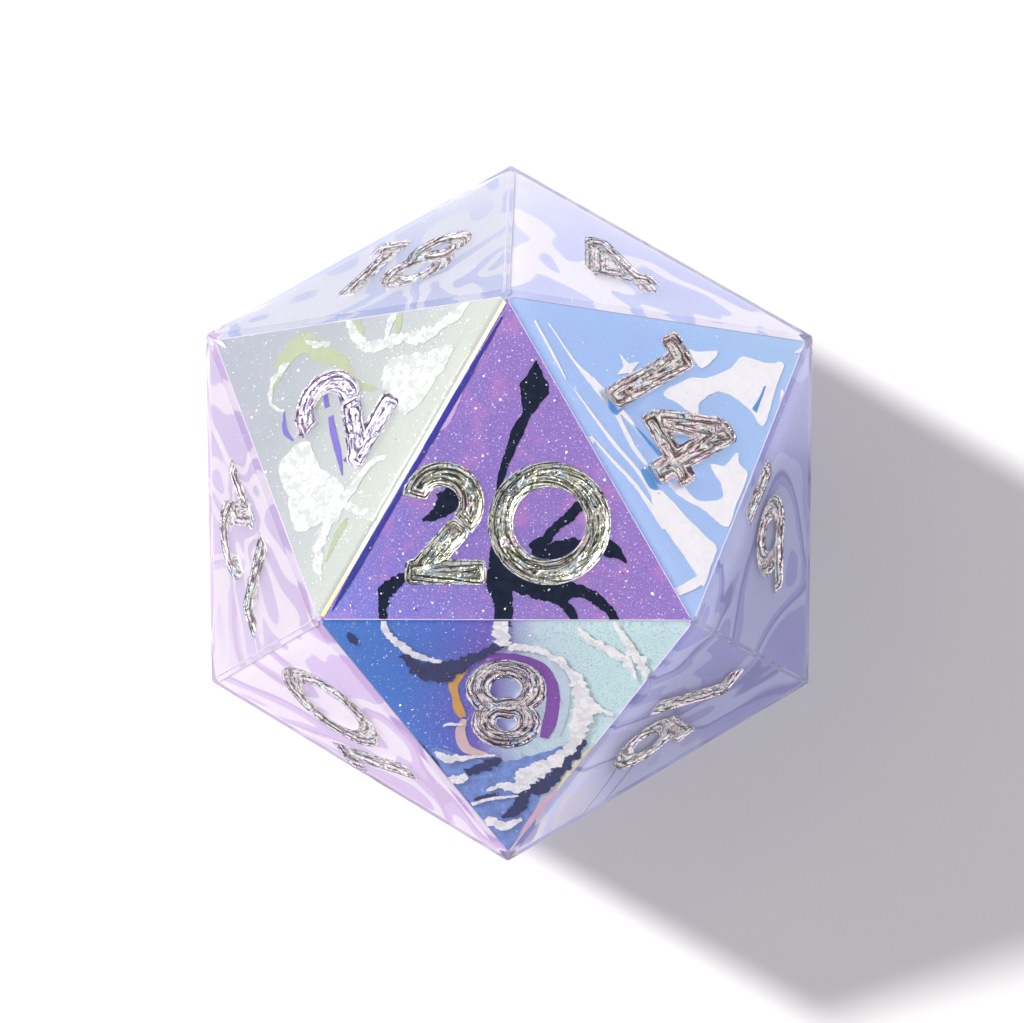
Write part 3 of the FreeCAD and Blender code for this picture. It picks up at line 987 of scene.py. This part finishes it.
def decorate_blue_face(foil, deep):
    """White swirls, streaks and a four-pointed star, with painted shadows in deeper blue, mostly under the
    digits.
    """
    sail = blob([(0.35, 5.75), (0.9, 4.9), (1.85, 3.45), (1.2, 3.25), (0.5, 2.9), (0.1, 2.45), (0.0, 1.9),
                 (0.1, 1.3), (0.4, 0.9), (-0.3, 0.45), (-0.85, 0.1), (-0.85, 1.5), (-0.55, 2.3),
                 (-0.45, 3.4), (-0.6, 4.2), (0.0, 5.0)])
    hook = blob([(2.2, 1.7), (2.6, 1.55), (3.0, 1.65), (3.4, 1.1), (3.75, 0.45), (4.25, -0.45), (3.4, -0.95),
                 (2.7, -1.5), (2.0, -1.8), (2.2, -1.3), (2.9, -1.05), (3.2, -0.5), (3.3, 0.05), (2.9, 0.3),
                 (2.1, 0.35), (2.4, 0.9)])
    splash = blob([(-1.2, 3.3), (-0.97, 2.8), (-1.0, 2.2), (-1.7, 2.15), (-1.45, 2.6)])
    band = blob([(4.7, -1.35), (5.2, -2.1), (5.6, -2.75), (5.1, -2.78), (4.3, -2.85), (3.0, -3.0),
                 (2.2, -2.85), (1.9, -2.6), (2.1, -2.2), (3.2, -1.85), (4.2, -1.5)])
    streaks = [[(2.1, -1.75, 0.15), (1.0, -1.55, 0.13), (0.0, -1.75, 0.13), (-0.8, -1.95, 0.2),
                (-1.6, -2.25, 0.42), (-2.4, -2.5, 0.33), (-3.3, -2.75, 0.12), (-4.9, -2.9, 0.06)],
               [(1.2, -2.2, 0.15), (0.3, -2.35, 0.22), (-0.6, -2.3, 0.2), (-1.6, -2.2, 0.3)],
               [(2.4, -2.6, 0.35), (1.0, -2.75, 0.16), (-0.4, -3.1, 0.17), (-2.5, -3.4, 0.05)],
               [(3.2, -2.95, 0.3), (1.5, -3.15, 0.18), (0.3, -3.5, 0.14), (-0.8, -3.8, 0.06)],
               [(-2.9, -3.5, 0.05), (-3.9, -3.45, 0.13), (-5.2, -3.4, 0.1)],
               [(5.35, -2.7, 0.35), (5.35, -3.4, 0.32), (5.3, -4.1, 0.25)],
               [(1.1, 5.05, 0.1), (1.55, 4.8, 0.35), (1.9, 4.3, 0.1)]]
    foil_piece("swirls_14", 14, [sail, hook, splash, band, *brushes(streaks),
                                 star(-2.2, -0.75, 0.62)], foil)
    # Painted shadows: deeper blue patches under the digits, and a sliver on a white swirl.
    painted_digit_shadows = [blob([(-1.65, -2.2), (-1.35, -2.45), (-1.0, -2.3), (-1.1, -1.9), (-1.5, -1.85)]),
              blob([(1.1, -2.6), (1.75, -2.65), (1.85, -2.35), (1.2, -2.35)]),
              brush([(1.1, -1.15, 0.25), (0.6, -1.15, 0.2), (0.2, -1.05, 0.05)]),
              brush([(1.1, -1.45, 0.14), (0.3, -1.65, 0.15), (-0.4, -1.85, 0.03)]),
              brush([(0.68, 4.45, 0.06), (0.95, 4.0, 0.1), (1.25, 3.4, 0.2)])]
    foil_piece("painted_digit_shadows_14", 14, painted_digit_shadows, deep, layer=1)


def decorate_teal_face(frost, dark, halo):
    """Frosty and dark arms that carry the upper face's flourish on round the 8, whose white is partly
    painted reflection, and a halo by the digit.
    """
    arms = [[(-0.1, -2.75, 0.3), (-1.0, -2.65, 0.3), (-1.8, -2.15, 0.3), (-2.3, -1.5, 0.4),
             (-2.6, -0.7, 0.6), (-2.7, 0.1, 0.7), (-2.5, 1.0, 0.7), (-2.4, 1.7, 0.5), (-2.0, 2.3, 0.4),
             (-1.4, 2.9, 0.6), (-0.8, 3.3, 0.8), (-0.4, 3.9, 0.5), (0.2, 3.9, 0.3), (0.7, 4.15, 0.1)],
            [(-3.7, 0.45, 0.1), (-3.2, 0.2, 0.35), (-2.6, 0.0, 0.5)],
            [(-4.85, -1.1, 0.12), (-4.75, -1.8, 0.35), (-4.4, -2.5, 0.4), (-3.95, -3.5, 0.25),
             (-3.75, -4.0, 0.2)], [(-4.5, -1.2, 0.1), (-4.2, -2.0, 0.3), (-3.7, -2.5, 0.4),
                                   (-3.0, -3.0, 0.32), (-2.5, -3.7, 0.22)],
            [(2.2, -2.05, 0.15), (3.0, -2.3, 0.25), (3.6, -2.8, 0.3), (4.0, -3.3, 0.25), (4.2, -4.0, 0.15)],
            [(0.05, -2.8, 0.45), (0.1, -3.3, 0.6), (0.1, -4.0, 0.5)],
            [(0.4, 2.4, 0.12), (1.2, 2.5, 0.15), (2.0, 2.6, 0.4), (2.5, 2.25, 0.1)],
            [(1.4, 3.4, 0.35), (1.8, 3.6, 0.4), (2.1, 3.55, 0.1)],
            [(-0.4, 4.4, 0.08), (0.4, 4.5, 0.14), (1.25, 4.8, 0.16)],
            [(-0.5, 5.5, 0.15), (0.1, 5.85, 0.35), (0.75, 5.5, 0.35)],
            [(1.5, 0.95, 0.05), (2.0, 0.9, 0.12), (2.2, 1.05, 0.04)]]
    shade = [[(-2.75, 1.7, 0.12), (-2.35, 2.4, 0.4), (-1.8, 3.2, 0.4), (-1.2, 3.95, 0.65), (-0.6, 4.3, 0.45),
              (-0.4, 5.0, 0.45), (0.2, 5.45, 0.15)], [(0.2, 2.6, 0.2), (0.7, 2.9, 0.45), (1.4, 3.3, 0.35)],
             [(0.3, 4.3, 0.1), (0.8, 4.45, 0.22), (1.15, 4.6, 0.08)],
             [(0.0, -3.0, 0.3), (0.8, -2.4, 0.35), (1.6, -1.9, 0.6), (2.2, -1.55, 0.95), (2.9, -1.6, 0.65),
              (3.5, -2.4, 0.3)], [(5.15, -2.8, 0.05), (5.25, -3.1, 0.3), (5.4, -3.4, 0.06)],
             [(0.05, -3.7, 0.55), (0.05, -4.2, 0.6)],
             [(1.0, 5.8, 0.2), (1.6, 4.8, 0.3), (2.2, 3.6, 0.25), (2.9, 2.4, 0.45), (3.4, 1.5, 0.1)]]
    rings = {"violet": [(-1.3, 1.6, 0.3), (-1.5, 0.9, 0.5), (-1.6, 0.2, 0.5), (-1.6, -0.6, 0.5),
                        (-1.2, -1.6, 0.65), (-0.4, -2.1, 0.55), (0.4, -2.2, 0.4), (1.0, -2.0, 0.2)],
             "ice": [(-1.75, 1.5, 0.2), (-1.95, 0.6, 0.3), (-2.05, -0.4, 0.35), (-1.95, -1.3, 0.35),
                     (-1.4, -2.1, 0.3), (-0.7, -2.45, 0.15)],
             "gold": [(1.5, 0.6, 0.25), (1.65, 0.2, 0.35), (1.75, -0.4, 0.25), (1.8, -1.0, 0.35),
                      (1.4, -1.7, 0.25)],
             "blush": [(-0.3, 6.9, 0.1), (-0.8, 6.0, 0.5), (-1.45, 4.9, 0.6), (-2.0, 4.0, 0.4)],
             "cream": [(-1.75, 4.3, 0.1), (-2.15, 3.6, 0.45), (-2.75, 2.6, 0.5), (-3.3, 1.7, 0.1)],
             "peach": [(0.7, 2.45, 0.25), (1.4, 2.1, 0.4), (1.6, 1.3, 0.35), (1.45, 0.7, 0.2)]}
    tip = [(-2.3, 2.0), (-1.3, 4.2), (-0.4, 6.3), (0.2, 6.9), (1.2, 5.0), (2.6, 2.2), (1.4, 2.5),
           (0.2, 2.75), (-1.0, 2.4)]
    foil_piece("tip_08", 8, [blob(tip, 0.1)], halo["tip"])
    for level, (name, path) in enumerate(rings.items(), 1):
        foil_piece(f"halo_{name}_08", 8, [brush(path, 0.02)], halo[name], layer=0.15 * level)
    foil_piece("dark_swirls_08", 8, brushes(shade, 0.2), dark, layer=2)
    foil_piece("swirls_08", 8, brushes(arms, 0.2), frost, layer=3)


def decorate_pearl_face(frost, lime, violet):
    """Frosted patches and veins over a lime wash, and the painted violet reflection beside the digit."""
    wash = [[(-0.6, 3.4, 0.2), (0.6, 3.65, 0.6), (1.5, 3.3, 0.8), (1.5, 2.3, 0.6), (1.6, 1.2, 0.5),
             (1.2, 0.2, 0.4), (1.4, -0.9, 0.1)], [(-0.5, 1.1, 0.1), (0.0, 1.3, 0.4), (0.4, 1.0, 0.1)],
            [(-4.6, -2.9, 0.1), (-3.4, -2.75, 0.3), (-2.9, -2.8, 0.1)],
            [(2.6, 0.9, 0.1), (2.9, 1.2, 0.25), (3.3, 1.8, 0.2)],
            [(3.3, -0.5, 0.1), (3.8, -0.2, 0.3), (4.4, 0.2, 0.2)]]
    patches = [blob([(-2.6, 1.3), (-1.4, 0.8), (-1.9, -0.5), (-2.1, -1.9), (-3.3, -1.9), (-4.2, -1.0),
                     (-3.3, 0.3)], 0.12),
               blob([(1.2, -2.0), (1.4, -2.9), (2.7, -3.1), (4.0, -3.0), (3.2, -1.9), (2.8, -1.0),
                     (2.0, -0.7), (1.5, -1.4)], 0.2)]
    veins = [[(-5.2, -3.2, 0.1), (-4.6, -2.5, 0.4), (-3.6, -2.1, 0.45), (-2.5, -2.2, 0.45),
              (-1.0, -2.4, 0.28), (-0.4, -2.9, 0.15)],
             [(-2.6, -2.3, 0.25), (-2.5, -3.0, 0.3), (-2.4, -4.0, 0.25)],
             [(3.6, 1.9, 0.1), (3.1, 2.0, 0.25), (2.7, 1.4, 0.4), (2.5, 0.6, 0.45), (2.8, 0.0, 0.4),
              (3.3, -0.6, 0.4), (3.9, -1.6, 0.5), (4.9, -2.3, 0.4), (5.9, -2.6, 0.3)],
             [(3.0, -0.1, 0.12), (3.8, 0.15, 0.3), (4.5, 0.3, 0.2)],
             [(1.6, 3.2, 0.1), (1.7, 2.7, 0.25), (1.95, 2.1, 0.15)],
             [(2.5, 3.4, 0.1), (2.9, 3.0, 0.25), (3.2, 2.7, 0.1)],
             [(-0.9, 2.4, 0.12), (-0.9, 3.1, 0.15), (-0.3, 3.6, 0.2), (0.3, 3.5, 0.45), (0.2, 3.0, 0.3)]]
    # A painted reflection of the digit, in violet, beside it.
    painted_digit_reflection = [[(-1.75, -1.55, 0.04), (-1.2, -0.9, 0.24), (-0.6, -0.1, 0.26), (-0.2, 0.35, 0.2)],
               [(0.0, 0.7, 0.2), (0.35, 1.1, 0.2)],
               [(-1.6, 1.3, 0.06), (-1.45, 1.9, 0.2), (-0.9, 2.4, 0.05)]]
    foil_piece("wash_02", 2, brushes(wash, 0.1), lime)
    foil_piece("frost_02", 2, [*patches, *brushes(veins, 0.2)], frost, layer=1)
    foil_piece("painted_digit_reflection_02", 2, brushes(painted_digit_reflection, 0.02), violet, layer=2)


def glint(number, side, material):
    """A bright sliver at a film's top corner."""
    stroke = [(side, 7.25, 0.02), (side + 0.03, 6.95, 0.13), (side - 0.02, 6.6, 0.03)]
    foil_piece(f"glint_{number:02d}", number, [brush(stroke, 0.02)], material, layer=4, slide=UNMOVED)


def draw_seams():
    """Painted highlights as bright lines where the films meet: gold along one edge of the upper face, lilac
    along the rest.
    """
    pairs = (pair for face in FACES.values() for pair in zip(face, face[1:] + face[:1]))
    edges = sorted({tuple(sorted(pair)) for pair in pairs} - {GOLD_EDGE})
    seam_lines("edge_highlights", edges, 0.04, foil_material("edge_highlight_foil", linear(214, 204, 228)))
    seam_lines("gold_edge_highlight", [GOLD_EDGE], 0.14, gold_seam_material())


# ---- assembly ----

place_camera()
lay_floor()
sky()
key_lamp()
resin_body(resin_material())
silvers = {name: silver_material(f"silver_{name}", *look) for name, look in SILVERS.items()}
for number in FACES:
    silver_numeral(number, silvers[SILVER_OF_FACE.get(number, "leaf")])
    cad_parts[f"film_facet_{number:02d}"].data.materials[0] = film_material(number, *FILM_LOOKS[number])
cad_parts["inner_core"].data.materials[0] = core_material()
fine_glitter(glitter_material())

# The flourish's foil; its dark on the upper face is partly a painted reflection.
dark_foil = foil_material("dark_foil", linear(34, 44, 66), 0.3, 0.25, 0.6)
navy_foil = foil_material("navy_foil", linear(14, 34, 104), 0.0, 0.35, 0.6)
bright_foil = foil_material("bright_foil", (0.95, 0.93, 0.96), 0.6, 0.2)
# Frosted foil of face 8's arms; their white, where the flourish is dark above, is partly a painted
# reflection.
white_frost = foil_material("white_frost", (1.0, 0.98, 1.0), 0.1, 0.35, 0.82, 0.1)
pearl_frost = foil_material("pearl_frost", linear(180, 185, 184), 0.1, 0.4, 0.74, 0.3)
# The lilac of the slivers on the upper face is a painted reflection.
lilac_reflection_foil = foil_material("lilac_reflection_foil", linear(205, 170, 225), 0.2, 0.3)
halo = {name: foil_material(f"halo_{name}", linear(*colour)) for name, colour in HALO_COLOURS.items()}
halo["tip"] = foil_material("halo_tip", linear(128, 160, 236), shade=0.62)
decorate_upper_face(dark_foil, lilac_reflection_foil, foil_material("edge_blue", linear(58, 62, 150)))
glint(2, 0.0, bright_foil)
glint(14, 0.2, bright_foil)
draw_seams()
# The deeper blue on face 14 is painted shadow.
decorate_blue_face(bright_foil, foil_material("painted_shadow_blue", linear(72, 148, 222)))
decorate_teal_face(white_frost, navy_foil, halo)
# Face 2's patterns; the violet is a painted reflection of its digit.
decorate_pearl_face(pearl_frost, foil_material("lime_foil", linear(148, 158, 128)),
                    foil_material("painted_reflection_violet", linear(92, 76, 168)))
